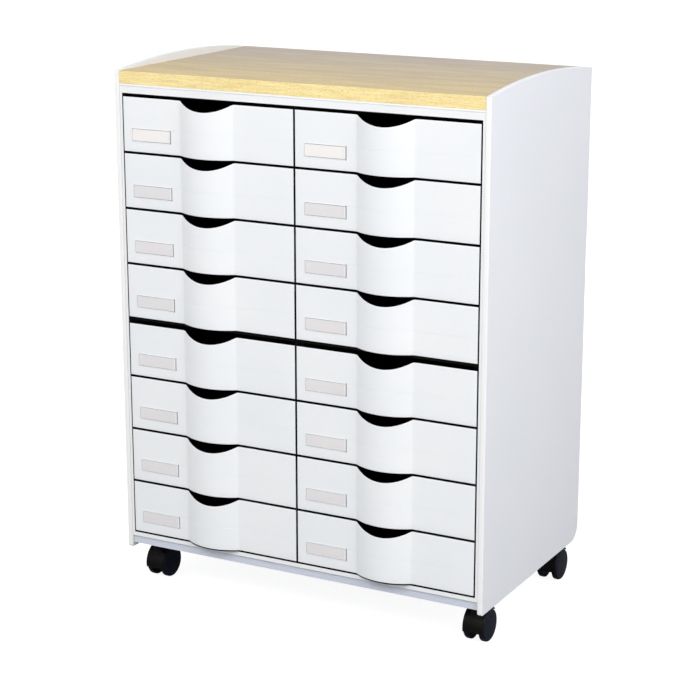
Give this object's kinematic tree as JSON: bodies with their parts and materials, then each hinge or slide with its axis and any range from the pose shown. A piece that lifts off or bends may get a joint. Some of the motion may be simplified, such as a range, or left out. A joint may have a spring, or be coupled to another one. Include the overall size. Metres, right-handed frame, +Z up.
{
  "type": "mobile drawer cabinet",
  "caption": "Mobile office cabinet of stacked slide-out drawers with bowed finger-pull fronts, between white side panels under a wood top board, on swivel casters.",
  "frame": {"origin": "on the floor, under the middle of the cabinet's overall width and depth", "axes": "+Z up; the drawers open towards -Y, so +Y points to the back; +X to the right as seen from the front"},
  "size_m": [0.616, 0.387, 0.83],
  "materials": {
    "melamine_white": "satin melamine-faced board",
    "laminate_wood": "matt beech-pattern laminate",
    "front_white": "semi-gloss moulded plastic",
    "tray_black": "moulded, finely textured",
    "caster_black": "moulded nylon, semi-matt",
    "wheel_black": "moulded nylon, semi-matt",
    "zinc": "bright zinc plate",
    "hardboard": "thin white-faced board"
  },
  "bodies": {
    "cabinet": {"side_panel_left": "melamine_white", "side_panel_right": "melamine_white", "wood_top_board": "laminate_wood", "carcass_sleeve": "melamine_white", "base_board": "melamine_white", "back_panel": "hardboard", "flat_head_screws": "zinc", "caster_plates": "zinc", "housing_upper_left": "tray_black", "housing_upper_right": "tray_black", "housing_lower_left": "tray_black", "housing_lower_right": "tray_black"},
    "drawer_left_1": {"drawer_front_left_1": "front_white", "drawer_tray_left_1": "tray_black"},
    "drawer_left_2": {"drawer_front_left_2": "front_white", "drawer_tray_left_2": "tray_black"},
    "drawer_left_3": {"drawer_front_left_3": "front_white", "drawer_tray_left_3": "tray_black"},
    "drawer_left_4": {"drawer_front_left_4": "front_white", "drawer_tray_left_4": "tray_black"},
    "drawer_left_5": {"drawer_front_left_5": "front_white", "drawer_tray_left_5": "tray_black"},
    "drawer_left_6": {"drawer_front_left_6": "front_white", "drawer_tray_left_6": "tray_black"},
    "drawer_left_7": {"drawer_front_left_7": "front_white", "drawer_tray_left_7": "tray_black"},
    "drawer_left_8": {"drawer_front_left_8": "front_white", "drawer_tray_left_8": "tray_black"},
    "drawer_right_1": {"drawer_front_right_1": "front_white", "drawer_tray_right_1": "tray_black"},
    "drawer_right_2": {"drawer_front_right_2": "front_white", "drawer_tray_right_2": "tray_black"},
    "drawer_right_3": {"drawer_front_right_3": "front_white", "drawer_tray_right_3": "tray_black"},
    "drawer_right_4": {"drawer_front_right_4": "front_white", "drawer_tray_right_4": "tray_black"},
    "drawer_right_5": {"drawer_front_right_5": "front_white", "drawer_tray_right_5": "tray_black"},
    "drawer_right_6": {"drawer_front_right_6": "front_white", "drawer_tray_right_6": "tray_black"},
    "drawer_right_7": {"drawer_front_right_7": "front_white", "drawer_tray_right_7": "tray_black"},
    "drawer_right_8": {"drawer_front_right_8": "front_white", "drawer_tray_right_8": "tray_black"},
    "caster_front_left": {"caster_hood_front_left": "caster_black", "caster_axle_front_left": "zinc"},
    "caster_front_right": {"caster_hood_front_right": "caster_black", "caster_axle_front_right": "zinc"},
    "caster_rear_left": {"caster_hood_rear_left": "caster_black", "caster_axle_rear_left": "zinc"},
    "caster_rear_right": {"caster_hood_rear_right": "caster_black", "caster_axle_rear_right": "zinc"},
    "wheel_front_left_inner": {"wheel_front_left_inner": "wheel_black"},
    "wheel_front_left_outer": {"wheel_front_left_outer": "wheel_black"},
    "wheel_front_right_inner": {"wheel_front_right_inner": "wheel_black"},
    "wheel_front_right_outer": {"wheel_front_right_outer": "wheel_black"},
    "wheel_rear_left_inner": {"wheel_rear_left_inner": "wheel_black"},
    "wheel_rear_left_outer": {"wheel_rear_left_outer": "wheel_black"},
    "wheel_rear_right_inner": {"wheel_rear_right_inner": "wheel_black"},
    "wheel_rear_right_outer": {"wheel_rear_right_outer": "wheel_black"}
  },
  "joints": [
    {"name": "drawer_left_1_slide", "type": "slide", "parent": "cabinet", "child": "drawer_left_1", "axis": [0, -1, 0], "range_m": [0, 0.26]},
    {"name": "drawer_left_2_slide", "type": "slide", "parent": "cabinet", "child": "drawer_left_2", "axis": [0, -1, 0], "range_m": [0, 0.26]},
    {"name": "drawer_left_3_slide", "type": "slide", "parent": "cabinet", "child": "drawer_left_3", "axis": [0, -1, 0], "range_m": [0, 0.26]},
    {"name": "drawer_left_4_slide", "type": "slide", "parent": "cabinet", "child": "drawer_left_4", "axis": [0, -1, 0], "range_m": [0, 0.26]},
    {"name": "drawer_left_5_slide", "type": "slide", "parent": "cabinet", "child": "drawer_left_5", "axis": [0, -1, 0], "range_m": [0, 0.26]},
    {"name": "drawer_left_6_slide", "type": "slide", "parent": "cabinet", "child": "drawer_left_6", "axis": [0, -1, 0], "range_m": [0, 0.26]},
    {"name": "drawer_left_7_slide", "type": "slide", "parent": "cabinet", "child": "drawer_left_7", "axis": [0, -1, 0], "range_m": [0, 0.26]},
    {"name": "drawer_left_8_slide", "type": "slide", "parent": "cabinet", "child": "drawer_left_8", "axis": [0, -1, 0], "range_m": [0, 0.26]},
    {"name": "drawer_right_1_slide", "type": "slide", "parent": "cabinet", "child": "drawer_right_1", "axis": [0, -1, 0], "range_m": [0, 0.26]},
    {"name": "drawer_right_2_slide", "type": "slide", "parent": "cabinet", "child": "drawer_right_2", "axis": [0, -1, 0], "range_m": [0, 0.26]},
    {"name": "drawer_right_3_slide", "type": "slide", "parent": "cabinet", "child": "drawer_right_3", "axis": [0, -1, 0], "range_m": [0, 0.26]},
    {"name": "drawer_right_4_slide", "type": "slide", "parent": "cabinet", "child": "drawer_right_4", "axis": [0, -1, 0], "range_m": [0, 0.26]},
    {"name": "drawer_right_5_slide", "type": "slide", "parent": "cabinet", "child": "drawer_right_5", "axis": [0, -1, 0], "range_m": [0, 0.26]},
    {"name": "drawer_right_6_slide", "type": "slide", "parent": "cabinet", "child": "drawer_right_6", "axis": [0, -1, 0], "range_m": [0, 0.26]},
    {"name": "drawer_right_7_slide", "type": "slide", "parent": "cabinet", "child": "drawer_right_7", "axis": [0, -1, 0], "range_m": [0, 0.26]},
    {"name": "drawer_right_8_slide", "type": "slide", "parent": "cabinet", "child": "drawer_right_8", "axis": [0, -1, 0], "range_m": [0, 0.26]},
    {"name": "swivel_front_left", "type": "hinge", "parent": "cabinet", "child": "caster_front_left", "pos_m": [-0.2795, -0.133, 0.05], "axis": [0, 0, 1], "continuous": true},
    {"name": "swivel_front_right", "type": "hinge", "parent": "cabinet", "child": "caster_front_right", "pos_m": [0.2795, -0.133, 0.05], "axis": [0, 0, 1], "continuous": true},
    {"name": "swivel_rear_left", "type": "hinge", "parent": "cabinet", "child": "caster_rear_left", "pos_m": [-0.2795, 0.148, 0.05], "axis": [0, 0, 1], "continuous": true},
    {"name": "swivel_rear_right", "type": "hinge", "parent": "cabinet", "child": "caster_rear_right", "pos_m": [0.2795, 0.148, 0.05], "axis": [0, 0, 1], "continuous": true},
    {"name": "wheel_front_left_inner_spin", "type": "hinge", "parent": "caster_front_left", "child": "wheel_front_left_inner", "pos_m": [-0.2667, -0.121, 0.025], "axis": [1, 0, 0], "continuous": true},
    {"name": "wheel_front_left_outer_spin", "type": "hinge", "parent": "caster_front_left", "child": "wheel_front_left_outer", "pos_m": [-0.2923, -0.121, 0.025], "axis": [1, 0, 0], "continuous": true},
    {"name": "wheel_front_right_inner_spin", "type": "hinge", "parent": "caster_front_right", "child": "wheel_front_right_inner", "pos_m": [0.2667, -0.121, 0.025], "axis": [1, 0, 0], "continuous": true},
    {"name": "wheel_front_right_outer_spin", "type": "hinge", "parent": "caster_front_right", "child": "wheel_front_right_outer", "pos_m": [0.2923, -0.121, 0.025], "axis": [1, 0, 0], "continuous": true},
    {"name": "wheel_rear_left_inner_spin", "type": "hinge", "parent": "caster_rear_left", "child": "wheel_rear_left_inner", "pos_m": [-0.2667, 0.16, 0.025], "axis": [1, 0, 0], "continuous": true},
    {"name": "wheel_rear_left_outer_spin", "type": "hinge", "parent": "caster_rear_left", "child": "wheel_rear_left_outer", "pos_m": [-0.2923, 0.16, 0.025], "axis": [1, 0, 0], "continuous": true},
    {"name": "wheel_rear_right_inner_spin", "type": "hinge", "parent": "caster_rear_right", "child": "wheel_rear_right_inner", "pos_m": [0.2667, 0.16, 0.025], "axis": [1, 0, 0], "continuous": true},
    {"name": "wheel_rear_right_outer_spin", "type": "hinge", "parent": "caster_rear_right", "child": "wheel_rear_right_outer", "pos_m": [0.2923, 0.16, 0.025], "axis": [1, 0, 0], "continuous": true}
  ]
}
